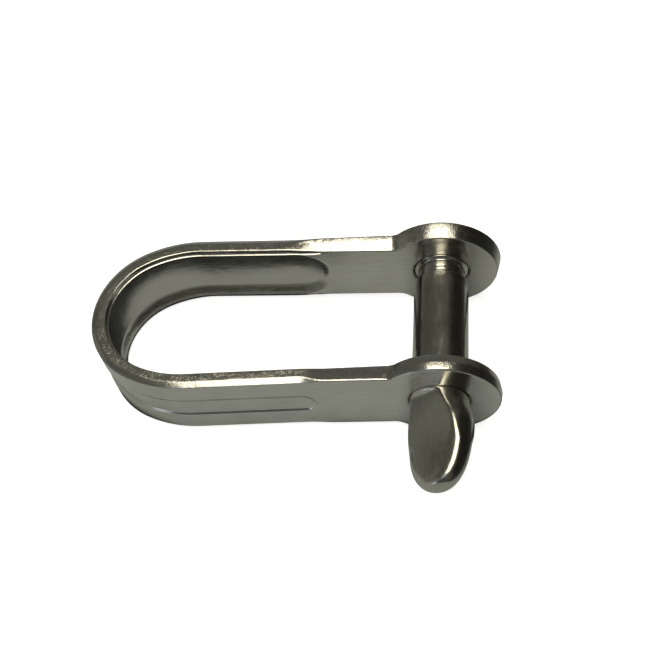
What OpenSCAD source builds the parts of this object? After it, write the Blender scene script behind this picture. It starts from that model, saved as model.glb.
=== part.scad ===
// Dee shackle pressed from strip, with a screw pin.
//
// Frame: the origin is on the pin's axis, halfway between the two ears. The pin lies along Y, with its
// paddle head at -Y and its thread at +Y. The legs run along -X to the crown of the bow. Z is the width
// of the strip, so the shackle lies flat on its edges.

/* [Pin] */
// Diameter of the shank, which is also the thread's major diameter
pin_d = 5; // [4.9:0.05:5.2]
// Diameter of the turned-down neck between the shank and the thread
neck_d = 4.3; // [4:0.1:4.4]
// Pitch of the thread
thread_pitch = 0.8; // [0.7:0.05:0.9]
// Bare neck that shows between the shank's shoulder and the far ear
neck_gap = 1.5; // [1.2:0.1:1.8]
// How far the thread's end stands out of the far ear
thread_out = 0.6; // [0.3:0.1:1]
// Length of the paddle head beyond the near ear
head_len = 8.6; // [7.5:0.1:10]
// Distance from the near ear to where the paddle is widest
head_widest = 3.7; // [3:0.1:4.5]
// Width of the paddle at its widest
head_w = 6.2; // [5.8:0.1:7]
// How much further the paddle spreads on its upper side than on its lower side, as forged
head_skew = 0.4; // [0:0.1:0.6]
// How much nearer the ear the upper side is widest
head_shift = 1.4; // [0:0.1:2]
// Thickness of the paddle between its flats
head_t = 2.3; // [2:0.1:3]
// Thickness that the paddle's rounded rims would come to if it had no flats
rim_t = 4.5; // [4:0.1:5]
// Length over which each flat runs down from the round bar to its full depth
head_ramp = 3; // [2:0.1:3.5]
// Turn of the paddle about the pin's axis, from lying flat
head_turn = 36; // [0:1:90]

/* [Strip] */
// Thickness of the strip at the ears, as rolled
strip_t = 1.6; // [1.5:0.05:1.8]
// Thickness of its edges round the bend, where pressing has thinned it
bend_t = 1.4; // [1.3:0.05:1.5]
// Width of the strip
strip_w = 7.6; // [7.2:0.1:8.4]

/* [Bow] */
// Inside length, from the pin's axis to the crown
inside_len = 30.5; // [29:0.5:40]
// Inside width where the bend meets the legs
inside_w = 13.2; // [13:0.1:13.6]
// Inside radius of the crown
crown_r = 6.2; // [6:0.05:6.3]
// Half of the angle that the crown's radius spans
crown_angle = 64; // [55:1:66]
// Lean of each leg in towards the ears
toe_in = 1.5; // [0.5:0.1:2]

/* [Ears] */
// Radius of the round ears
ear_r = 5.5; // [5.2:0.1:6]
// Radius of the fillets between the ears and the legs
flare_r = 1.2; // [0.8:0.1:2]
// Diameter of the clearance hole in the near ear
hole_d = 5.4; // [5.3:0.1:5.6]
// Radial clearance between the thread and its hole in the far ear
thread_clear = 0.05; // [0.03:0.01:0.08]
// Diameter of the countersink at the mouth of the far ear's hole
sink_d = 5.4; // [5.3:0.1:5.8]

/* [Pressed hollows] */
// Width of the trough down the inside of the strip
trough_w = 6.8; // [6.4:0.1:7]
// Depth of the trough
trough_d = 0.6; // [0.4:0.05:0.7]
// Distance from the pin's axis to the trough's rounded ends
trough_end = 10.3; // [9.8:0.1:12]
// Width of the shallow groove down the outside of the strip
groove_w = 2.9; // [2.4:0.1:3.2]
// Depth of the groove
groove_d = 0.15; // [0.1:0.01:0.2]
// Distance from the pin's axis to the groove's rounded ends
groove_end = 11.2; // [10.5:0.1:12]

/* [Hidden] */
$fn = 96;
over = 1;

// Path of the strip's inner face: a crown arc, then a flatter arc and a straight leg on each side
bend_half = inside_w / 2;
side_r = (bend_half - crown_r * sin(crown_angle)) / (cos(toe_in) - sin(crown_angle));
crown_x = crown_r - inside_len;
side_x = crown_x + (side_r - crown_r) * cos(crown_angle);
side_y = -(side_r - crown_r) * sin(crown_angle);
leg_x = side_x + side_r * sin(toe_in);
crown_steps = 22;
side_steps = 6;

// Ears: they straighten up where the fillets start, so their faces are square to the pin
flare_x = sqrt(pow(ear_r + flare_r, 2) - pow(strip_w / 2 + flare_r, 2));
ear_in = bend_half - (-flare_x - leg_x) * tan(toe_in);
ear_out = ear_in + strip_t;
ear_steps = 72;
fillet_steps = 6;

// Trough: the arc across the strip that has the stated width and depth
trough_r = (pow(trough_w / 2, 2) + pow(trough_d, 2)) / (2 * trough_d);
groove_slope = 2;
mouth = 0.1;
end_steps = 8;

// Stations along the pin
shank_end = ear_in - neck_gap;
thread_start = ear_in + 0.1;
thread_end = ear_out + thread_out;
thread_chamfer = (pin_d - neck_d) / 2;
thread_depth = 0.4;
thread_count = floor((thread_end - thread_start - thread_chamfer) / thread_pitch);

// Paddle: the bar swells inside the near ear to a round root, then sections follow a rounded outline
swell = 0.12;
swell_start = -ear_in + 0.1;
root_r = pin_d / 2 + swell;
root_len = 0.3;
roundness = 2.3;
ramp_bend = 1.4;
head_steps = 26;
rim_steps = 9;

// ---- The strip's path. A station is [x, y, a]: a point on the inner face, and the angle of the
// ---- direction that points out through the strip there.

function arc(x, y, r, from, to, steps) =
    [for (i = [0:steps]) let (a = from + (to - from) * i / steps) [x + r * cos(a), y + r * sin(a), a]];

// The bend, from where it leaves the +Y leg, round the crown, to where it meets the -Y leg
function bend() = concat(
    arc(side_x, side_y, side_r, 90 - toe_in, 180 - crown_angle, side_steps),
    arc(crown_x, 0, crown_r, 180 - crown_angle, 180 + crown_angle, crown_steps),
    arc(side_x, -side_y, side_r, 180 + crown_angle, 270 + toe_in, side_steps)
);

// A place on the +Y leg, or on the other with side = -1, at the given x
function on_leg(x, side) = [x, side * (bend_half - (x - leg_x) * tan(toe_in)), side * (90 - toe_in)];

// A point at a station, moved out through the strip and up across its width
function place(station, out, up) = [
    station[0] + out * cos(station[2]),
    station[1] + out * sin(station[2]),
    up
];

// The strip seen along Z: inner face and outer face, with the ears running past the pin. The outer
// face slopes in from the ears to where the groove begins.
module band() {
    tip = ear_r + over;
    thin = -groove_end - groove_w / 2;
    outer = concat([on_leg(thin, 1)], bend(), [on_leg(thin, -1)]);
    polygon(concat(
        [[tip, ear_in], [-flare_x, ear_in]],
        [for (s = bend()) [s[0], s[1]]],
        [[-flare_x, -ear_in], [tip, -ear_in], [tip, -ear_out], [-flare_x, -ear_out]],
        [for (s = outer) let (p = place([s[0], -s[1], -s[2]], bend_t, 0)) [p[0], p[1]]],
        [[-flare_x, ear_out], [tip, ear_out]]
    ));
}

// The strip seen along the pin: the leg, the round ear, and a fillet above and below between them
module side_view() {
    half = strip_w / 2;
    far = inside_len + strip_t + over;
    turn = atan((half + flare_r) / flare_x);
    outline = concat(
        [[-far, -half]],
        arc(-flare_x, -half - flare_r, flare_r, 90, turn, fillet_steps),
        arc(0, 0, ear_r, turn - 180, 180 - turn, ear_steps),
        arc(-flare_x, half + flare_r, flare_r, -turn, -90, fillet_steps),
        [[-far, half]]
    );
    polygon([for (p = outline) [p[0], p[1]]]);
}

// A closed solid through a row of loops of points, each with the same number of points
module skin(loops) {
    n = len(loops[0]);
    last = len(loops) - 1;
    sides = [
        for (j = [0:last - 1], i = [0:n - 1]) let (a = j * n + i, b = j * n + (i + 1) % n)
            each [[a, b, a + n], [b, b + n, a + n]]
    ];
    polyhedron(
        [for (loop = loops) each loop],
        concat([[for (i = [n - 1:-1:0]) i]], sides, [[for (i = [0:n - 1]) last * n + i]])
    );
}

// One section of a hollow, `past` beyond the middle of its round end. Its depth depends only on the
// distance from the hollow's middle, so the ends come out round. Shares are of the half width.
function hollow_loop(depth, shares, half, lid, s, past) =
    let (
        at = past == 0 ? s : on_leg(s[0] + past * cos(toe_in), sign(s[1])),
        wide = sqrt(pow(half, 2) - pow(past, 2)),
        end = shares[0] * wide
    )
    concat(
        [for (k = shares) place(at, depth(norm([k * wide, past])), k * wide)],
        [place(at, lid, -end), place(at, lid, end)]
    );

// A hollow all round the bend and down both legs, with round ends centred at x = cap
module hollow(depth, shares, half, lid, cap) {
    ends = [for (i = [0:end_steps]) half * sin(88 * i / end_steps)];
    skin(concat(
        [for (i = [end_steps:-1:0]) hollow_loop(depth, shares, half, lid, on_leg(cap, 1), ends[i])],
        [for (s = bend()) hollow_loop(depth, shares, half, lid, s, 0)],
        [for (i = [0:end_steps]) hollow_loop(depth, shares, half, lid, on_leg(cap, -1), ends[i])]
    ));
}

// The trough down the inside of the bow: an arc across the strip
module trough() {
    steps = 12;
    depth = function(r) sqrt(pow(trough_r, 2) - pow(r, 2)) - trough_r + trough_d;
    half = sqrt(pow(trough_r, 2) - pow(trough_r - trough_d - mouth, 2));
    shares = [for (i = [0:steps]) 2 * i / steps - 1];
    hollow(depth, shares, half, -over, -trough_end - trough_w / 2);
}

// The groove down the outside of the bow: a flat floor with sloping walls
module groove() {
    floor_at = bend_t - groove_d;
    floor_half = groove_w / 2 - groove_slope * groove_d;
    half = groove_w / 2 + groove_slope * mouth;
    depth = function(r) floor_at + max(0, r - floor_half) / groove_slope;
    edge = floor_half / half;
    hollow(depth, [1, edge, 0, -edge, -1], half, bend_t + over, -groove_end - groove_w / 2);
}

// A cylinder or cone along the pin's axis between two stations
module turned(from, to, d, d_to = 0) {
    translate([0, from, 0])
        rotate([-90, 0, 0])
            cylinder(h = to - from, d1 = d, d2 = d_to > 0 ? d_to : d);
}

// The strip, pressed, pierced and bent in one piece
module bow() {
    thread_hole = pin_d + 2 * thread_clear;
    color([0.56, 0.55, 0.51])
        difference() {
            intersection() {
                linear_extrude(2 * ear_r + over, center = true)
                    band();
                rotate([90, 0, 0])
                    linear_extrude(inside_w + 4 * strip_t, center = true)
                        side_view();
            }
            trough();
            groove();
            turned(-ear_out - over, -ear_in + over, hole_d);
            turned(ear_in - over, ear_out + over, thread_hole);
            turned(ear_in, ear_in + (sink_d - thread_hole) / 2, sink_d, thread_hole);
        }
}

// Half width of the paddle on one side (1 or -1), u down its length from the ear
function paddle_half(u, side) =
    let (
        widest = head_widest - side * head_shift / 2,
        half = (head_w + side * head_skew) / 2,
        grown = (1 - cos(180 * min(1, u / widest))) / 2
    )
    (root_r + grown * (half - root_r)) * paddle_fall(u, widest);

// How the outline closes in on the tip, from 1 at the widest place to 0
function paddle_fall(u, widest) =
    pow(1 - pow(max(0, u - widest) / (head_len - widest), roundness), 1 / roundness);

// One section of the paddle: two rounded rims, and between their ends the two flats
function paddle_loop(u) =
    let (
        ramp = pow(max(0, 1 - u / head_ramp), ramp_bend),
        flat = (1 - ramp) * head_t / 2 + ramp * root_r,
        high = ((1 - ramp) * rim_t / 2 + ramp * root_r) * paddle_fall(u, head_widest),
        end = asin(min(0.999, flat / high))
    )
    [
        for (side = [1, -1], i = [-rim_steps:rim_steps])
            let (a = end * i / rim_steps)
                [side * paddle_half(u, side) * cos(a), -ear_out - u, -side * high * sin(a)]
    ];

// The forged head, drawn lying flat. Its sections crowd together where the tip rounds over.
module paddle() {
    skin(concat(
        [[for (p = paddle_loop(0)) [p[0], p[1] + root_len, p[2]]]],
        [for (i = [0:head_steps]) paddle_loop(head_len * sin(89 * i / head_steps))]
    ));
}

// The thread's flanks, as a row of vee grooves. The first starts a little way into the thread.
module thread_grooves() {
    lead = 0.2 * thread_pitch;
    for (i = [0:thread_count - 1])
        translate([0, thread_start + lead + i * thread_pitch, 0])
            rotate([-90, 0, 0])
                rotate_extrude()
                    polygon([
                        [pin_d / 2 - thread_depth, thread_pitch / 2],
                        [pin_d / 2 + thread_clear, 0],
                        [pin_d / 2 + thread_clear, thread_pitch]
                    ]);
}

// The screw pin: shank, neck, thread and paddle, all one piece of bar
module pin() {
    edge = 0.15;
    color([0.33, 0.33, 0.29]) {
        turned(-ear_out + root_len / 3, swell_start, pin_d + 1.5 * swell, pin_d);
        turned(swell_start - edge, shank_end - edge, pin_d);
        turned(shank_end - edge, shank_end, pin_d, pin_d - 2 * edge);
        difference() {
            union() {
                turned(shank_end - over, thread_start + over, neck_d);
                turned(thread_start - thread_chamfer, thread_start, neck_d, pin_d);
                turned(thread_start, thread_end - thread_chamfer, pin_d);
                turned(thread_end - thread_chamfer, thread_end, pin_d, neck_d);
            }
            thread_grooves();
        }
        rotate([0, -head_turn, 0])
            paddle();
    }
}

bow();
pin();
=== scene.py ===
"""Looks for a dee shackle pressed from stainless strip, with its screw pin.

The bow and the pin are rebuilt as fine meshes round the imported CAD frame. Lengths are in
millimetres here, and become metres when a mesh, a light or the camera is made. The frame is the
CAD's: the origin is on the pin's axis between the ears, the pin lies along Y, the legs run along
-X and Z is up.
"""

import math

import bmesh
import bpy
import numpy as np
from mathutils import Matrix, Vector


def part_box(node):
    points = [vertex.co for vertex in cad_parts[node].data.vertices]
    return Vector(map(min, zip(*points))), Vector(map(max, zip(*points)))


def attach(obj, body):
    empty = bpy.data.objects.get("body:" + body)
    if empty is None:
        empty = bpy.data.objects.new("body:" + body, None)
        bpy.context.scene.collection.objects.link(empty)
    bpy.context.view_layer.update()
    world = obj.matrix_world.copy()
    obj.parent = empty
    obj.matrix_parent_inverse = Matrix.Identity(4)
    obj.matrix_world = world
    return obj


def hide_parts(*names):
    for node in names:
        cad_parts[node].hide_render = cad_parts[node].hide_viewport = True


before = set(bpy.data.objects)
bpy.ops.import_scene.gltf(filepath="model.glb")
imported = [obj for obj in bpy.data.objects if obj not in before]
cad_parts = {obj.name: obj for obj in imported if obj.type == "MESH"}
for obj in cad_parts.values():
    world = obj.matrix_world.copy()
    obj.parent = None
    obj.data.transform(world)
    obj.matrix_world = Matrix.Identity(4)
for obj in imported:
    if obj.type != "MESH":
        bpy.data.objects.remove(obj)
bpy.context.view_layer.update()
MM = 0.001


def corners_mm(node):
    """Lowest and highest corner of a CAD node, in millimetres."""
    low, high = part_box(node)
    return np.array(low) / MM, np.array(high) / MM


bow_low, bow_high = corners_mm("bow")
pin_low, pin_high = corners_mm("pin")

# ---- Strip
STRIP_T = 1.6
BEND_T = 1.4
HALF_W = 3.8
EAR_R = bow_high[2]
FILLET_R = 1.2
CROWN_R = 6.2
CROWN_ANGLE = math.radians(64)
TOE_IN = math.radians(1.5)
TOE_BLEND = 0.3
BEND_HALF = 6.6
CROWN_X = bow_low[0] + BEND_T + CROWN_R

# ---- Where the bend's arcs, the legs and the ears meet
SIDE_R = (BEND_HALF - CROWN_R * math.sin(CROWN_ANGLE)) / (math.cos(TOE_IN) - math.sin(CROWN_ANGLE))
SIDE_X = CROWN_X + (SIDE_R - CROWN_R) * math.cos(CROWN_ANGLE)
SIDE_Y = -(SIDE_R - CROWN_R) * math.sin(CROWN_ANGLE)
LEG_X = SIDE_X + SIDE_R * math.sin(TOE_IN)
FLARE_X = math.sqrt((EAR_R + FILLET_R) ** 2 - (HALF_W + FILLET_R) ** 2)
EAR_IN = BEND_HALF - (-FLARE_X - LEG_X) * math.tan(TOE_IN)
EAR_OUT = EAR_IN + STRIP_T
CUT_X = -6.0

# Where a value differs between the legs, 1 is the +Y leg and -1 is the -Y leg. A zone is a stretch
# of x, and on the pin's head it is a stretch of the head's length from the ear.

# ---- Trough pressed into the inner face
TROUGH_HALF = 3.4
TROUGH_D = 0.6
TROUGH_CAP = -13.7
TROUGH_R = (TROUGH_HALF**2 + TROUGH_D**2) / (2 * TROUGH_D)
TROUGH_EDGE = 0.03

# ---- Groove pressed into the outer face, with the widths of its upper and lower walls
GROOVE_HALF = 1.45
GROOVE_D = 0.21
GROOVE_WALLS = 0.8, 0.3
GROOVE_CAP = -12.2

# ---- Outer corner, rolled over where the strip is pressed
ROLL_ZONE = {1: (-10.5, -14.5), -1: (-9.8, -12.0)}
ROLL_ACROSS, ROLL_DOWN = 0.56, 0.31
ROLL_BEVEL = 0.75

# ---- Inner face beside the trough: a cove at the edge, a shelf, and a lip that falls away inwards
LIP = 0.19
LIP_FALLS = 0.8, 1.2
LIP_SHELF = 0.055
LIP_ZONE = (-10.0, -12.0)
LIP_FROM, LIP_R = 3.7, 3.25
COVE = 0.04
COVE_SHARE = 0.45

# ---- Sheared edge: rounded corners, a lean, a crowned rim on the -Y ear, and torn grain
INNER_EDGE = 0.12
OUTER_EDGE = 0.2
SHEAR_LEAN = 0.24
SHEAR_SHARE = {1: 0.8, -1: 0.6}
EAR_CROWN = {1: 0.0, -1: 0.17}
LEAN_BLEND = 0.05
EAR_ZONE = (-FLARE_X - 1, -FLARE_X + 2)
GRAIN_SIZES = 1.3, 0.45
GRAIN_SEEDS = 3, 4
GRAIN_DEPTH = 0.02
GRAIN_SINK = 1.2

# ---- Holes: radius and rounding of the inner mouth on each side, and rounding of the outer rim.
# The middle of a rounding lies this share of its size in from both faces.
HOLES = {1: (2.55, 0.12), -1: (2.7, 0.08)}
HOLE_RIM = 0.1
ROUND_MID = 0.3

# ---- Pin
PIN_R = 2.5
NECK_R = 2.15
SHOULDER = 0.18
PITCH = 0.8
THREAD_DEPTH = 0.4
THREAD_START = EAR_IN + 0.1
THREAD_END = pin_high[1]
THREAD_FADE = 0.1, 0.25
THREAD_CONE = 0.35
CONE_BLEND = 0.03
VEE_ROOT, VEE_SLOPE = 1.12, 2.5
SHANK_END = EAR_IN - 1.5
NECK_RINGS = 0.3, 0.66
RING_SIZE = 0.07
ROOT_R = PIN_R + 0.12
ROOT_LEAD = 0.1

# ---- Head of the pin: its outline, then the two flats that cut it
HEAD_LEN = -EAR_OUT - pin_low[1]
HEAD_WIDEST = 3.7
HEAD_HALF = 3.1
HEAD_SKEW = 0.2
HEAD_SHIFT = 0.7
HEAD_TURN = math.radians(36)
ROUNDNESS = 2.3
RIM_T = 4.5
RIM_ZONE = 2, 6
HEAD_T = 2.3
HEAD_RAMP = 4.2
RAMP_SLOPE = 0.22
RAMP_BLEND = 0.35
ROOT_FLARE, FLARE_LEN = 0.8, 0.16
CRISP_ROOT, CRISP_TIP = 32, 6
CRISP_ZONE = 2.3, 5


def ease(start, end, x):
    """0 at start and before it, 1 at end and after it, smooth between."""
    t = np.clip((np.asarray(x, float) - start) / (end - start), 0, 1)
    return t * t * (3 - 2 * t)


def soft_positive(x, width):
    """max(x, 0) with its corner rounded over about the given width."""
    return (x + np.sqrt(x * x + width * width)) / 2


# Waves that add up to a wobble, the spread of their lengths, and what brings their sum to about 1
WAVES = 14
WAVE_SPREAD = 0.7, 1.8
WAVE_SUM = 5


def ripple(p, size, seed):
    """A smooth, repeatable wobble between about -1 and 1 at each point, with a given grain size."""
    rng = np.random.default_rng(seed)
    total = np.zeros(len(p))
    for _ in range(WAVES):
        direction = rng.normal(size=3)
        direction /= np.linalg.norm(direction)
        wave = 2 * math.pi / (size * rng.uniform(*WAVE_SPREAD))
        total += np.sin(p @ direction * wave + rng.uniform(0, 2 * math.pi))
    return total / WAVE_SUM


# Points closer than this become one, and then edges shorter than this vanish
SAME_POINT = 0.002
NO_EDGE = 0.0005


class Skin:
    """Collects grids of points and turns them into one welded mesh."""

    def __init__(self):
        self.points, self.faces, self.shear = [], [], []
        self.count = 0

    def grid(self, points, shear=0.0, close=False):
        """Adds a grid, rows by columns by 3. close joins the last column to the first."""
        points = np.asarray(points, float)
        rows, cols = points.shape[:2]
        shear = np.broadcast_to(np.asarray(shear, float), (rows, cols))
        index = np.arange(rows * cols).reshape(rows, cols) + self.count
        if close:
            index = np.hstack([index, index[:, :1]])
        quads = np.stack([index[:-1, :-1], index[:-1, 1:], index[1:, 1:], index[1:, :-1]], -1)
        self.points.append(points.reshape(-1, 3))
        self.shear.append(shear.reshape(-1))
        self.faces.extend(quads.reshape(-1, 4).tolist())
        self.count += rows * cols

    def fan(self, ring):
        """Closes a ring of points with a small cap."""
        ring = np.asarray(ring, float)
        n = len(ring)
        self.points.append(np.vstack([ring, ring.mean(0)]))
        self.shear.append(np.zeros(n + 1))
        for i in range(n):
            self.faces.append([self.count + i, self.count + (i + 1) % n, self.count + n])
        self.count += n + 1

    def build(self, name, material):
        """Makes the object: welded, facing outwards, smooth, with its points' shear attribute."""
        mesh = bpy.data.meshes.new(name)
        mesh.from_pydata((np.vstack(self.points) * MM).tolist(), [], self.faces)
        mesh.attributes.new("shear", "FLOAT", "POINT").data.foreach_set(
            "value", np.concatenate(self.shear).astype(np.float32)
        )
        obj = bpy.data.objects.new(name, mesh)
        bpy.context.scene.collection.objects.link(obj)
        weld(mesh)
        mesh.materials.append(material)
        mesh.shade_smooth()
        weighted = obj.modifiers.new("Weighted normals", "WEIGHTED_NORMAL")
        weighted.keep_sharp = True
        return obj


def weld(mesh):
    """Merges the points that neighbouring grids share, and turns every face outwards."""
    bm = bmesh.new()
    bm.from_mesh(mesh)
    bmesh.ops.remove_doubles(bm, verts=bm.verts, dist=SAME_POINT * MM)
    bmesh.ops.dissolve_degenerate(bm, edges=bm.edges, dist=NO_EDGE * MM)
    bmesh.ops.recalc_face_normals(bm, faces=bm.faces)
    bm.to_mesh(mesh)
    bm.free()


# ======================================================================================= the bow


def leg(x):
    """Inner face of the +Y leg and ear: its y and its lean at each x."""
    x = np.asarray(x, float)
    past = soft_positive(-FLARE_X - x, TOE_BLEND)
    lean = TOE_IN * ease(-FLARE_X + TOE_BLEND, -FLARE_X - TOE_BLEND, x)
    return EAR_IN + math.tan(TOE_IN) * past, lean


def leg_point(x, side, out, up):
    """A point of a leg or ear: out through the strip from its inner face, and up its width."""
    y, lean = leg(x)
    return np.stack([x + out * np.sin(lean), side * (y + out * np.cos(lean)), up + 0 * x], -1)


def thickness(x):
    """Strip thickness at a leg position; pressing has thinned it round the bend."""
    return STRIP_T + (BEND_T - STRIP_T) * np.clip((-FLARE_X - x) / (-FLARE_X - GROOVE_CAP), 0, 1)


def end_radius(x, up, cap):
    """Distance from a hollow's middle line, or from the middle of its round end."""
    return np.hypot(up, np.maximum(0, np.asarray(x) - cap))


def trough_depth(x, up):
    """How far the trough sinks into the inner face. Its floor is part of a sphere or a cylinder."""
    # well outside the trough the distance stops growing, so that the root below stays real
    r = np.minimum(end_radius(x, up, TROUGH_CAP), TROUGH_R * 0.9)
    arc = np.sqrt(TROUGH_R**2 - r**2) - TROUGH_R + TROUGH_D
    # rounding over the edge leaves a trace everywhere, so that trace is taken off again
    return soft_positive(arc, TROUGH_EDGE) - soft_positive(-1.0, TROUGH_EDGE)


def groove_depth(x, up):
    """How far the groove sinks into the outer face."""
    r = end_radius(x, up, GROOVE_CAP)
    wall = np.where(up > 0, *GROOVE_WALLS)
    return GROOVE_D * ease(0, 1, (GROOVE_HALF - r) / wall)


def lip_height(x, up):
    """How far the pressed inner face stands proud: cove, shelf and lip, from the edge inwards."""
    fall = LIP_FALLS[0] + (LIP_FALLS[1] - LIP_FALLS[0]) * ease(0, -LIP_R, up)
    up = np.abs(up)
    cove = np.clip((LIP_FROM - up) / (LIP_FROM - LIP_R), 0, 1)
    shelf = np.clip((LIP_R + LIP_SHELF - up) / LIP_SHELF, 0, 1)
    edge = (LIP + COVE) * (COVE_SHARE * cove + (1 - COVE_SHARE) * shelf) - COVE
    lip = LIP * ease(0, 1, 1 - (LIP_R - end_radius(x, up, TROUGH_CAP)) / fall)
    return np.where(up > LIP_R, edge, lip) * ease(*LIP_ZONE, x)


# Rows of points over the strip's edge: those round the inner corner, shares of the way across the
# cut, and those round the outer corner. Then how much each row shows the torn surface that
# shearing leaves.
CORNER_ROWS = 5
CUT_ROWS = 0.3, 0.55, 0.62
ROLL_ROWS = 11
WALL_SHEAR = np.array(
    [0, 0.1, 0.4, 0.8, 1, 1, 1, 1, 0.9, 0.7, 0.5, 0.4, 0.35, 0.3, 0.25, 0.2, 0.15, 0.05, 0]
)


def wall_profile(x, side):
    """Points over the strip's edge, inner face to outer: how far in from the edge, and how far out.

    The cut leans in towards the inner face, except where pressing has squared it up."""
    t = thickness(x)
    pressed = ease(*ROLL_ZONE[side], x)
    across = OUTER_EDGE + (ROLL_ACROSS - OUTER_EDGE) * pressed
    down = OUTER_EDGE + (ROLL_DOWN - OUTER_EDGE) * pressed
    turns = np.radians(np.linspace(0, 90, CORNER_ROWS))
    inset = [INNER_EDGE * (1 - math.sin(a)) for a in turns]
    out = [COVE * ease(*LIP_ZONE, x) + INNER_EDGE * (1 - math.cos(a)) for a in turns]
    corner = out[-1]
    for share in CUT_ROWS:
        inset.append(0.0)
        out.append(corner + (t - across - corner) * share)
    for share in np.linspace(0, 1, ROLL_ROWS):
        # a plain corner is a quarter circle, a rolled one is nearly flat between two tight turns
        a = share * math.pi / 2
        tight = 0.5 - 0.5 * math.cos(math.pi * share)
        bevel = ROLL_BEVEL * pressed
        inset.append(down * ((1 - bevel) * (1 - math.cos(a)) + bevel * tight))
        out.append(t - across + across * ((1 - bevel) * math.sin(a) + bevel * tight))
    inset, out = np.array(inset), np.array(out)
    lean = SHEAR_LEAN * (1 - pressed) * soft_positive(SHEAR_SHARE[side] * t - out, LEAN_BLEND)
    crown = EAR_CROWN[side] * ease(*EAR_ZONE, x) * soft_positive(out - t / 2, LEAN_BLEND)
    return inset + lean + crown, out


# Steps across a face from edge to edge, how far they crowd towards the edges, and the shares of
# the shelf that get a row of points of their own
ACROSS = 96
CROWDING = 0.6
SHELF_ROWS = 0, 0.3, 0.7, 1


def face_heights(inset):
    """Heights across a face from edge to edge, closer together near the edges and the lips."""
    spread = np.linspace(-1, 1, ACROSS + 1)
    crowded = CROWDING * np.sin(spread * math.pi / 2)
    spread = ((1 - CROWDING) * spread + crowded) * (HALF_W - inset)
    shelf = LIP_R + LIP_SHELF * np.array(SHELF_ROWS)
    return np.sort(np.concatenate([spread, shelf, -shelf]))


def section(x, side):
    """One closed section of the strip as out, up and shear.

    It goes up the inner face, over the upper edge, down the outer face and back under the lower
    edge."""
    inset, out = wall_profile(x, side)
    inner, outer = face_heights(inset[0]), face_heights(inset[-1])[::-1]
    ups = np.concatenate([inner, HALF_W - inset[1:], outer[1:], -(HALF_W - inset[::-1][1:-1])])
    inner_out = trough_depth(x, inner) - lip_height(x, inner)
    outer_out = thickness(x) - groove_depth(x, outer[1:])
    outs = np.concatenate([inner_out, out[1:], outer_out, out[::-1][1:-1]])
    shear = np.concatenate([0 * inner, WALL_SHEAR[1:], 0 * outer[1:], WALL_SHEAR[::-1][1:-1]])
    return outs, ups, shear


# Stretches of a leg with the step between their stations, which is finer where the hollows end
LEG_STRETCHES = [(CUT_X, -9.6, 0.3), (-9.7, -14.2, 0.07), (-14.3, LEG_X, 0.3)]
# Steps round the bend's side arcs and round its crown
SIDE_STEPS, CROWN_STEPS = 16, 72
# Points along an ear's outline: on the leg's edge, round the fillet and round the ear
OUTLINE_STEPS = 7, 13, 66
# Rings of points across an ear's face, and how far they crowd towards the hole
FACE_RINGS = 15
FACE_CROWDING = 1.15


def leg_stops():
    """Stations down a leg, close together where the hollows end."""
    return np.concatenate([np.arange(start, end, -step) for start, end, step in LEG_STRETCHES])


def bend_stations():
    """Stations round the bend, from the +Y leg to the -Y leg: x, y and the outward angle."""
    arcs = [
        (SIDE_X, SIDE_Y, SIDE_R, math.pi / 2 - TOE_IN, math.pi - CROWN_ANGLE, SIDE_STEPS),
        (CROWN_X, 0.0, CROWN_R, math.pi - CROWN_ANGLE, math.pi + CROWN_ANGLE, CROWN_STEPS),
        (SIDE_X, -SIDE_Y, SIDE_R, math.pi + CROWN_ANGLE, 1.5 * math.pi + TOE_IN, SIDE_STEPS),
    ]
    rows = []
    for x, y, r, start, end, steps in arcs:
        first = 1 if rows else 0
        for a in np.linspace(start, end, steps + 1)[first:]:
            rows.append((x + r * math.cos(a), y + r * math.sin(a), a))
    return rows


def roughen(points, shear):
    """The sheared edge isn't flat: sinks its points by a few hundredths of a millimetre."""
    flat = points.reshape(-1, 3)
    coarse, fine = (ripple(flat, *grain) for grain in zip(GRAIN_SIZES, GRAIN_SEEDS))
    wobble = 0.5 * coarse + 0.5 * fine
    # sinking by a little more than the wobble's reach keeps nearly all of it inside the CAD's shape
    depth = GRAIN_DEPTH * shear.reshape(-1) * (wobble - GRAIN_SINK)
    flat = flat.copy()
    flat[:, 2] += depth * np.sign(flat[:, 2])
    return flat.reshape(points.shape)


def strip_rows():
    """All the sections of the legs and the bend, in order from one ear to the other."""
    rows, shears = [], []
    stops = leg_stops()

    def add_leg(order, side):
        for x in order:
            outs, ups, shear = section(x, side)
            rows.append(leg_point(np.full(len(outs), x), side, outs, ups))
            shears.append(shear)

    add_leg(stops, 1)
    outs, ups, shear = section(LEG_X, 1)
    for x, y, a in bend_stations():
        rows.append(np.stack([x + outs * math.cos(a), y + outs * math.sin(a), ups], -1))
        shears.append(shear)
    add_leg(stops[::-1], -1)
    return np.array(rows), np.array(shears)


def ear_outline():
    """Outline of an ear seen along the pin, from the leg's lower edge round to its upper edge.

    Each row is x, z and the outward direction."""
    on_leg, on_fillet, on_ear = OUTLINE_STEPS
    turn = math.atan((HALF_W + FILLET_R) / FLARE_X)
    upper = [(x, HALF_W, 0.0, 1.0) for x in np.linspace(CUT_X, -FLARE_X, on_leg)[:-1]]
    for a in np.linspace(-math.pi / 2, -turn, on_fillet):
        x = -FLARE_X + FILLET_R * math.cos(a)
        z = HALF_W + FILLET_R + FILLET_R * math.sin(a)
        upper.append((x, z, -math.cos(a), -math.sin(a)))
    for a in np.linspace(math.pi - turn, 0, on_ear)[1:]:
        upper.append((EAR_R * math.cos(a), EAR_R * math.sin(a), math.cos(a), math.sin(a)))
    upper = np.array(upper)
    lower = upper[:-1] * [1, -1, 1, -1]
    return np.vstack([lower, upper[::-1]])


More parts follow.
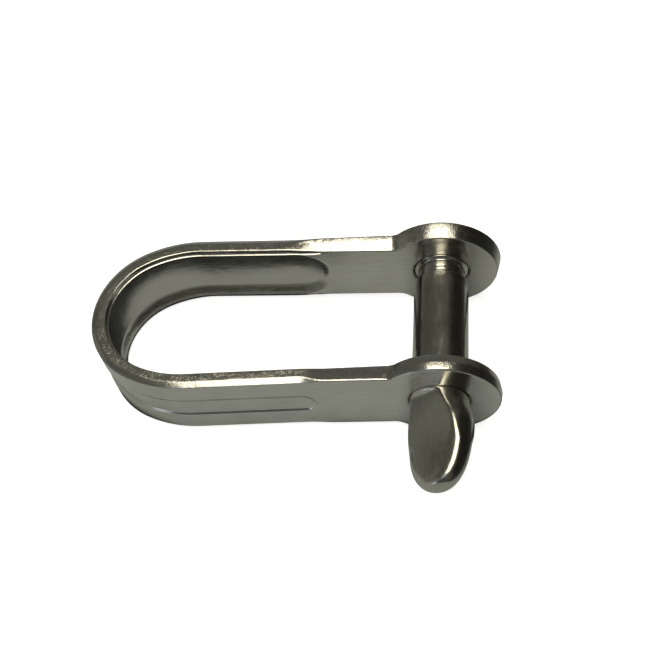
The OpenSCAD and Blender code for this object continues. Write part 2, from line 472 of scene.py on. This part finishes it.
def ear_border(side, outward):
    """Border of an ear's inner or outer face: inside its rounded edge, then back across the cut."""
    outline = ear_outline()
    insets = np.array([wall_profile(x, side)[0][-1 if outward else 0] for x in outline[:, 0]])
    edge = outline[:, :2] - insets[:, None] * outline[:, 2:]
    heights = face_heights(insets[0])
    cut = np.stack([np.full(len(heights), CUT_X), heights], -1)
    return np.vstack([edge, cut[::-1][1:-1]])


def rim(border, r):
    """Points round a hole's rim on the rays that lead to the border."""
    return r * border / np.linalg.norm(border, axis=1)[:, None]


def ear_face(skin, side, r, outward):
    """One face of an ear, from the rim of its hole to its border."""
    border = ear_border(side, outward)
    start = rim(border, r)
    steps = np.linspace(0, 1, FACE_RINGS) ** FACE_CROWDING
    flat = start[None] + (border - start)[None] * steps[:, None, None]
    x, z = flat[..., 0], flat[..., 1]
    out = thickness(x) if outward else np.zeros_like(x)
    skin.grid(leg_point(x, side, out, z), close=True)


def ear_wall(skin, side):
    """The sheared edge round an ear."""
    outline = ear_outline()
    rows, shears = [], []
    for x, z, nx, nz in outline:
        inset, out = wall_profile(x, side)
        px, pz = x - inset * nx, z - inset * nz
        rows.append(leg_point(px, side, out, pz))
        shears.append(WALL_SHEAR)
    skin.grid(roughen(np.array(rows), np.array(shears)), np.array(shears))


def hole_wall(skin, side, profile):
    """The wall of an ear's hole through (radius, out) pairs, from the inner face to the outer."""
    inner, outer = ear_border(side, False), ear_border(side, True)
    rows = []
    for share, (r, out) in zip(np.linspace(0, 1, len(profile)), profile):
        ring = rim(inner + (outer - inner) * share, r)
        rows.append(leg_point(ring[:, 0], side, np.full(len(ring), out), ring[:, 1]))
    skin.grid(np.array(rows), close=True)


def hole_profile(r, mouth):
    """(radius, out) pairs down a hole of radius r, rounded at its inner mouth and its outer rim."""
    t, rim_r = STRIP_T, HOLE_RIM
    mouth_mid, rim_mid = mouth * ROUND_MID, rim_r * ROUND_MID
    inner = [(r + mouth, 0.0), (r + mouth_mid, mouth_mid), (r, mouth), (r, t / 2)]
    outer = [(r, t - rim_r), (r + rim_mid, t - rim_mid), (r + rim_r, t)]
    return inner + outer


def make_bow(material):
    """The bow: legs and bend in one sweep, then each ear's two faces, its edge and its hole."""
    skin = Skin()
    rows, shears = strip_rows()
    skin.grid(roughen(rows, shears), shears, close=True)
    for side, (r, mouth) in HOLES.items():
        ear_face(skin, side, r + mouth, False)
        ear_face(skin, side, r + HOLE_RIM, True)
        ear_wall(skin, side)
        hole_wall(skin, side, hole_profile(r, mouth))
    return skin.build("bow_strip", material)


# ======================================================================================= the pin

# Points round each ring of the pin
AROUND = 240
TURNS = np.arange(AROUND) * 2 * math.pi / AROUND
# Steps between rings on the thread and on the shank, and numbers of rings on the root and the head
THREAD_STEP, SHANK_STEP = 0.04, 0.35
ROOT_RINGS, HEAD_RINGS = 12, 110
# The last ring's angle, just short of the head's tip, where a fan closes it
TIP_ANGLE = 89.4


def fall(u, widest):
    """How the paddle's outline closes in on its tip."""
    return (1 - (max(0.0, u - widest) / (HEAD_LEN - widest)) ** ROUNDNESS) ** (1 / ROUNDNESS)


def half_width(u, side):
    """Half width of the paddle on one side, u down its length from the ear."""
    widest = HEAD_WIDEST - side * HEAD_SHIFT
    half = HEAD_HALF + side * HEAD_SKEW
    grown = (1 - math.cos(math.pi * min(1.0, u / widest))) / 2
    return (ROOT_R + grown * (half - ROOT_R)) * fall(u, widest)


def paddle_loop(u):
    """One section of the head, lying flat: an oval cut by two flats, with its corners rounded.

    The flats ramp up towards the ear, where the head takes on the pin's round section."""
    flat = HEAD_T / 2 + soft_positive(RAMP_SLOPE * (HEAD_RAMP - u), RAMP_BLEND)
    flat += ROOT_FLARE * float(ease(FLARE_LEN, 0, u))
    settled = float(ease(*RIM_ZONE, u))
    high = (ROOT_R + settled * (RIM_T / 2 - ROOT_R)) * fall(u, HEAD_WIDEST)
    wide = np.where(np.cos(TURNS) > 0, half_width(u, 1), half_width(u, -1))
    oval = np.hypot(np.cos(TURNS) / wide, np.sin(TURNS) / high)
    slab = np.abs(np.sin(TURNS)) / flat
    crisp = CRISP_ROOT + (CRISP_TIP - CRISP_ROOT) * float(ease(*CRISP_ZONE, u))
    r = (oval**crisp + slab**crisp) ** (-1 / crisp)
    return np.stack([r * np.cos(TURNS), r * np.sin(TURNS)], -1)


def turned_points(u, loop):
    """Puts a head section in place: turned about the pin's axis, u beyond the near ear."""
    x = loop[:, 0] * math.cos(HEAD_TURN) - loop[:, 1] * math.sin(HEAD_TURN)
    z = loop[:, 0] * math.sin(HEAD_TURN) + loop[:, 1] * math.cos(HEAD_TURN)
    return np.stack([x, np.full(len(loop), -EAR_OUT - u), z], -1)


def pin_radius(y, turn):
    """Radius of the pin at one station, for each angle round it: root, shank, neck and thread."""
    root = ease(-EAR_IN + ROOT_LEAD, -EAR_OUT, y) * (ROOT_R - PIN_R)
    neck = (PIN_R - NECK_R) * ease(SHANK_END - SHOULDER, SHANK_END, y)
    neck *= 1 - ease(THREAD_START - THREAD_CONE, THREAD_START, y)
    r = PIN_R + root - neck
    for ring in NECK_RINGS:
        r = r - RING_SIZE * np.exp(-(((y - (SHANK_END + ring)) / RING_SIZE) ** 2))
    # the thread is a vee with narrow flats at its crest and its root, and it fades in at its start
    phase = np.mod((y - THREAD_START) / PITCH + turn / (2 * math.pi), 1)
    vee = np.clip(VEE_ROOT - np.abs(phase - 0.5) * VEE_SLOPE, 0, 1)
    before, after = THREAD_FADE
    r = r - THREAD_DEPTH * vee * ease(THREAD_START - before, THREAD_START + after, y)
    chamfer = soft_positive(y - (THREAD_END - THREAD_CONE), CONE_BLEND)
    return np.minimum(r, PIN_R - chamfer) if y > THREAD_START else r


def pin_stops():
    """Stations along the pin from its thread end to the near ear's outer face.

    There are three stretches, a little apart: thread and neck, shank, and swollen root."""
    return np.concatenate(
        [
            np.arange(THREAD_END, SHANK_END - 0.4, -THREAD_STEP),
            np.arange(SHANK_END - 0.45, -EAR_IN + 0.3, -SHANK_STEP),
            np.linspace(-EAR_IN + 0.2, -EAR_OUT, ROOT_RINGS),
        ]
    )


def make_pin(material):
    """The pin: one grid of rings from its thread end to its head's tip, with a fan at each end."""
    skin = Skin()
    rings = []
    for y in pin_stops():
        r = pin_radius(y, TURNS + HEAD_TURN)
        loop = np.stack([r * np.cos(TURNS), r * np.sin(TURNS)], -1)
        rings.append(turned_points(-EAR_OUT - y, loop))
    for a in np.radians(np.linspace(0, TIP_ANGLE, HEAD_RINGS))[1:]:
        u = HEAD_LEN * math.sin(a)
        rings.append(turned_points(u, paddle_loop(u)))
    skin.grid(np.array(rings), close=True)
    skin.fan(rings[0])
    skin.fan(rings[-1])
    return skin.build("screw_pin", material)


# ======================================================================================= materials

# Patterns in the steel: scale, detail and roughness of each noise
STREAKS = 2.2, 4.0, 0.6
CLOUDS = 0.35, 2.0, 0.5
PEEL = 1.3, 3.0, 0.55
TEARS = 3.4, 4.0, 0.6
# The stretch of a pattern that isn't stretched
EVEN = (1, 1, 1)
# What they do: factors on the polished and on the torn roughness, what clouds add to the
# roughness, factors on the colour, depths in millimetres, and how strongly the tears show where
# the metal is fully sheared
BRUSHED, TORN = (0.75, 1.3), (0.6, 1.3)
CLOUDED = 0, 0.06
CLOUD_SHADES, STREAK_SHADES = (0.94, 1.05), (0.93, 1.06)
STREAK_DEPTH, TEAR_DEPTH = 0.004, 0.06
TEAR_STRENGTH = 0.38


def add(tree, kind, settings=None, **inputs):
    """A shader node with its settings and input values."""
    node = tree.nodes.new(kind)
    for name, value in (settings or {}).items():
        setattr(node, name, value)
    for name, value in inputs.items():
        node.inputs[name.replace("_", " ")].default_value = value
    return node


def noise(tree, stretch, scale, detail, rough):
    """A noise pattern in object space, in millimetres, stretched by the given factors."""
    coords = add(tree, "ShaderNodeTexCoord")
    mapping = add(tree, "ShaderNodeMapping", Scale=tuple(1000 * s for s in stretch))
    pattern = add(tree, "ShaderNodeTexNoise", Scale=scale, Detail=detail, Roughness=rough)
    tree.links.new(coords.outputs["Object"], mapping.inputs["Vector"])
    tree.links.new(mapping.outputs["Vector"], pattern.inputs["Vector"])
    return pattern.outputs["Fac"]


def remap(tree, value, low, high, from_low=0.3, from_high=0.7):
    """Maps a pattern's usual span to the given span."""
    node = add(tree, "ShaderNodeMapRange", {"clamp": True})
    node.inputs["From Min"].default_value = from_low
    node.inputs["From Max"].default_value = from_high
    node.inputs["To Min"].default_value = low
    node.inputs["To Max"].default_value = high
    tree.links.new(value, node.inputs["Value"])
    return node.outputs["Result"]


def combine(tree, operation, a, b):
    """One math node. Each side is a socket or a number."""
    node = add(tree, "ShaderNodeMath", {"operation": operation})
    for socket, value in zip(node.inputs, (a, b)):
        if isinstance(value, (int, float)):
            socket.default_value = value
        else:
            tree.links.new(value, socket)
    return node.outputs["Value"]


def steel(name, tint, smooth, rough, grain, dents):
    """Polished stainless steel with faint brushing along the grain.

    The shear attribute turns it into the torn surface of a sheared edge."""
    material = bpy.data.materials.new(name)
    material.use_nodes = True
    tree = material.node_tree
    shader = tree.nodes["Principled BSDF"]
    shader.inputs["Metallic"].default_value = 1.0
    shear = add(tree, "ShaderNodeAttribute", {"attribute_name": "shear"}).outputs["Fac"]

    streaks = noise(tree, grain, *STREAKS)
    clouds = noise(tree, EVEN, *CLOUDS)
    peel = noise(tree, EVEN, *PEEL)
    tears = noise(tree, EVEN, *TEARS)

    brushed = remap(tree, streaks, *(smooth * factor for factor in BRUSHED))
    polished = combine(tree, "ADD", brushed, remap(tree, clouds, *CLOUDED))
    cut = remap(tree, tears, *(rough * factor for factor in TORN))
    mixed = add(tree, "ShaderNodeMix", {"data_type": "FLOAT"})
    tree.links.new(shear, mixed.inputs["Factor"])
    tree.links.new(polished, mixed.inputs["A"])
    tree.links.new(cut, mixed.inputs["B"])
    tree.links.new(mixed.outputs["Result"], shader.inputs["Roughness"])

    patches = remap(tree, clouds, *CLOUD_SHADES)
    shade = combine(tree, "MULTIPLY", patches, remap(tree, streaks, *STREAK_SHADES))
    colour = add(tree, "ShaderNodeVectorMath", {"operation": "SCALE"})
    colour.inputs[0].default_value = tint
    tree.links.new(shade, colour.inputs["Scale"])
    tree.links.new(colour.outputs["Vector"], shader.inputs["Base Color"])

    # each relief: its pattern, its depth in millimetres and where it shows
    normal = None
    reliefs = [(streaks, STREAK_DEPTH, None), (peel, dents, None), (tears, TEAR_DEPTH, shear)]
    for height, depth, strength in reliefs:
        bump = add(tree, "ShaderNodeBump", Distance=depth * MM, Strength=1.0)
        tree.links.new(height, bump.inputs["Height"])
        if strength:
            local = remap(tree, strength, 0, TEAR_STRENGTH, 0, 1)
            tree.links.new(local, bump.inputs["Strength"])
        if normal:
            tree.links.new(normal, bump.inputs["Normal"])
        normal = bump.outputs["Normal"]
    tree.links.new(normal, shader.inputs["Normal"])
    return material


# ======================================================================================= the stage

# The floor as the camera sees it: white paper, whose glow grows with the distance in metres
FLOOR_SIZE = 0.6
PAPER = (0.9, 0.9, 0.9, 1)
GLOW = 0.78, 1
GLOW_REACH = 0.05, 0.25

# The floor as the polished steel sees it: a grey card, with painted shade at the strip's foot that
# moves in under the bow and widens towards the crown, a painted pool of shade in the bow, and a
# dark end past the ears
CARD = (0.50, 0.54, 0.585)
SHADE = 0.1
SHADE_REACH = (0.9, 1.35)
SHADE_ZONE = (-14.0, -9.0)
SHADE_MOVE = 1.35
SHADE_WIDEN = 0.9
POOL_SHADE = 0.3
POOL_SHADE_REACH = (-6.5, -5.0)
TABLE_END = (9.0, 20.0)

# The room as the polished steel sees it: its colour, then patches of light and dark, each with its
# azimuth, elevation, inner and outer reach in degrees, and colour
ROOM = (0.105, 0.103, 0.085)
PATCHES = [
    (215, 6, 10, 36, (0.28, 0.28, 0.27)),
    (255, 42, 8, 18, (0.42, 0.46, 0.48)),
    (172, 17, 4, 17, (0.21, 0.215, 0.18)),
    (262, 0, 14, 34, (0.09, 0.095, 0.095)),
    (232, 3, 3, 9, (1.5, 1.65, 1.8)),
    (358, 12, 42, 58, (0.02, 0.018, 0.015)),
    (98, 2, 10, 26, (0.19, 0.21, 0.23)),
]

# The camera: its place, its directions, its lens and sensor, and what it sees, in metres
CAMERA_PLACE = (7.20, -60.54, 94.41)
CAMERA_RIGHT = (0.98721, 0.0619, -0.14694)
CAMERA_FORWARD = (-0.15707, 0.53611, -0.82941)
CAMERA_LENS, CAMERA_SENSOR = 68.26, 36
CAMERA_RANGE = 0.005, 10

# The light: the x it hangs over, its height in metres, and its centre and size in such heights
KEY_OVER = -12
KEY_HEIGHT = 0.4
KEY_CENTRE = (0.02, -0.25)
KEY_SIZE = (0.66, 1.20)
KEY_STRENGTH = 3.2
KEY_COLOUR = (1.0, 0.94, 0.75)


def floor_level(tree):
    """How light the floor is in reflections, with painted shade by its distance from the strip's
    foot and the ears.
    """
    place = add(tree, "ShaderNodeSeparateXYZ")
    coords = add(tree, "ShaderNodeTexCoord")
    tree.links.new(coords.outputs["Object"], place.inputs["Vector"])
    x = combine(tree, "MULTIPLY", place.outputs["X"], 1 / MM)
    y = combine(tree, "MULTIPLY", place.outputs["Y"], 1 / MM)
    past = combine(tree, "MINIMUM", combine(tree, "SUBTRACT", x, CROWN_X), 0)
    past_square = combine(tree, "MULTIPLY", past, past)
    squares = combine(tree, "ADD", past_square, combine(tree, "MULTIPLY", y, y))
    away = combine(tree, "SQRT", squares, 0)
    from_foot = combine(tree, "SUBTRACT", away, BEND_HALF + STRIP_T / 2)
    spread = remap(tree, x, 1, 0, *SHADE_ZONE)
    moved = combine(tree, "ADD", from_foot, combine(tree, "MULTIPLY", spread, SHADE_MOVE))
    wider = combine(tree, "MULTIPLY", spread, SHADE_WIDEN)
    to_shade = combine(tree, "SUBTRACT", combine(tree, "ABSOLUTE", moved, 0), wider)
    # painted shadow on the card along the strip's foot, moved in under the bow towards the crown
    foot = remap(tree, to_shade, SHADE, 1, *SHADE_REACH)
    # a painted pool of shade on the card inside the bow, towards the crown
    inside = combine(tree, "MULTIPLY", spread, remap(tree, from_foot, 1, 0, *POOL_SHADE_REACH))
    pool_shade = remap(tree, inside, 1, POOL_SHADE, 0, 1)
    table = remap(tree, x, 1, SHADE, *TABLE_END)
    return combine(tree, "MULTIPLY", combine(tree, "MULTIPLY", foot, pool_shade), table)


def make_floor():
    """A pale floor that touches the ears and the crown.

    The camera sees it as white paper. Reflections see a grey card with painted shade, so that the
    polished steel keeps its depth."""
    slope = (bow_low[2] + HALF_W) / bow_low[0]
    mesh = bpy.data.meshes.new("floor")
    spots = [(-1, -1), (1, -1), (1, 1), (-1, 1)]
    spots = [(FLOOR_SIZE * x, FLOOR_SIZE * y) for x, y in spots]
    mesh.from_pydata([(x, y, bow_low[2] * MM - slope * x) for x, y in spots], [], [(0, 1, 2, 3)])
    floor = bpy.data.objects.new("floor", mesh)
    bpy.context.scene.collection.objects.link(floor)
    material = bpy.data.materials.new("floor_paper")
    material.use_nodes = True
    tree = material.node_tree
    tree.nodes.clear()
    path = add(tree, "ShaderNodeLightPath")
    paper = add(tree, "ShaderNodeBsdfDiffuse", Color=PAPER)
    glow = add(tree, "ShaderNodeEmission", Color=(1, 1, 1, 1))
    coords = add(tree, "ShaderNodeTexCoord")
    away = add(tree, "ShaderNodeVectorMath", {"operation": "LENGTH"})
    tree.links.new(coords.outputs["Object"], away.inputs[0])
    tree.links.new(remap(tree, away.outputs["Value"], *GLOW, *GLOW_REACH), glow.inputs["Strength"])
    bright = add(tree, "ShaderNodeAddShader")
    card = add(tree, "ShaderNodeBsdfDiffuse")
    shade = add(tree, "ShaderNodeVectorMath", {"operation": "SCALE"})
    shade.inputs[0].default_value = CARD
    mix = add(tree, "ShaderNodeMixShader")
    out = add(tree, "ShaderNodeOutputMaterial")
    tree.links.new(floor_level(tree), shade.inputs["Scale"])
    tree.links.new(shade.outputs["Vector"], card.inputs["Color"])
    tree.links.new(paper.outputs["BSDF"], bright.inputs[0])
    tree.links.new(glow.outputs["Emission"], bright.inputs[1])
    tree.links.new(path.outputs["Is Camera Ray"], mix.inputs["Fac"])
    tree.links.new(card.outputs["BSDF"], mix.inputs[1])
    tree.links.new(bright.outputs["Shader"], mix.inputs[2])
    tree.links.new(mix.outputs["Shader"], out.inputs["Surface"])
    mesh.materials.append(material)


def make_light():
    """A soft rectangular light that looks straight down."""
    light = bpy.data.lights.new("key", "AREA")
    light.shape = "RECTANGLE"
    light.size, light.size_y = (side * KEY_HEIGHT for side in KEY_SIZE)
    light.energy = KEY_STRENGTH * math.pi * light.size * light.size_y
    light.color = KEY_COLOUR
    obj = bpy.data.objects.new("key", light)
    bpy.context.scene.collection.objects.link(obj)
    x, y = (offset * KEY_HEIGHT for offset in KEY_CENTRE)
    obj.location = (x + KEY_OVER * MM, y, KEY_HEIGHT)


def direction(azimuth, elevation):
    """Unit vector: azimuth 0 is +X and 90 is +Y."""
    a, e = math.radians(azimuth), math.radians(elevation)
    return (math.cos(a) * math.cos(e), math.sin(a) * math.cos(e), math.sin(e))


def make_world():
    """A dim warm room for the reflections, and white for the camera."""
    world = bpy.data.worlds.new("room")
    bpy.context.scene.world = world
    world.use_nodes = True
    tree = world.node_tree
    tree.nodes.clear()
    look = add(tree, "ShaderNodeTexCoord").outputs["Generated"]
    colour = add(tree, "ShaderNodeRGB").outputs["Color"]
    colour.default_value = (*ROOM, 1)
    # a colour Mix node's sockets share their names with its other sockets, so they go by number
    for azimuth, elevation, inner, outer, tint in PATCHES:
        towards = add(tree, "ShaderNodeVectorMath", {"operation": "DOT_PRODUCT"})
        towards.inputs[1].default_value = direction(azimuth, elevation)
        tree.links.new(look, towards.inputs[0])
        reach = [math.cos(math.radians(angle)) for angle in (outer, inner)]
        share = remap(tree, towards.outputs["Value"], 0, 1, *reach)
        mix = add(tree, "ShaderNodeMix", {"data_type": "RGBA"})
        mix.inputs[7].default_value = (*tint, 1)
        tree.links.new(share, mix.inputs["Factor"])
        tree.links.new(colour, mix.inputs[6])
        colour = mix.outputs[2]
    path = add(tree, "ShaderNodeLightPath")
    room = add(tree, "ShaderNodeBackground")
    white = add(tree, "ShaderNodeBackground", Color=(1, 1, 1, 1))
    mix = add(tree, "ShaderNodeMixShader")
    out = add(tree, "ShaderNodeOutputWorld")
    tree.links.new(colour, room.inputs["Color"])
    tree.links.new(path.outputs["Is Camera Ray"], mix.inputs["Fac"])
    tree.links.new(room.outputs["Background"], mix.inputs[1])
    tree.links.new(white.outputs["Background"], mix.inputs[2])
    tree.links.new(mix.outputs["Shader"], out.inputs["Surface"])


def make_camera():
    """The camera, looking down on the near leg from the front."""
    right = Vector(CAMERA_RIGHT).normalized()
    forward = Vector(CAMERA_FORWARD)
    forward = (forward - right * forward.dot(right)).normalized()
    up = right.cross(forward)
    data = bpy.data.cameras.new("camera")
    data.sensor_width = CAMERA_SENSOR
    data.lens = CAMERA_LENS
    data.clip_start, data.clip_end = CAMERA_RANGE
    camera = bpy.data.objects.new("camera", data)
    bpy.context.scene.collection.objects.link(camera)
    turn = Matrix((right, up, -forward)).transposed()
    camera.matrix_world = Matrix.Translation(Vector(CAMERA_PLACE) * MM) @ turn.to_4x4()
    bpy.context.scene.camera = camera


bow_steel = steel(
    "stainless_strip",
    tint=(0.60, 0.59, 0.56),
    smooth=0.15,
    rough=0.22,
    grain=(0.25, 1, 1.6),
    dents=0.012,
)
pin_steel = steel(
    "stainless_bar",
    tint=(0.50, 0.49, 0.445),
    smooth=0.16,
    rough=0.4,
    grain=(1.5, 0.25, 1.5),
    dents=0.024,
)

bow = make_bow(bow_steel)
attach(bow, "bow")
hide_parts("bow")

pin = make_pin(pin_steel)
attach(pin, "pin")
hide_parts("pin")

make_floor()
make_world()
make_camera()
make_light()

bpy.context.scene.view_settings.view_transform = "Standard"
bpy.context.scene.view_settings.look = "None"
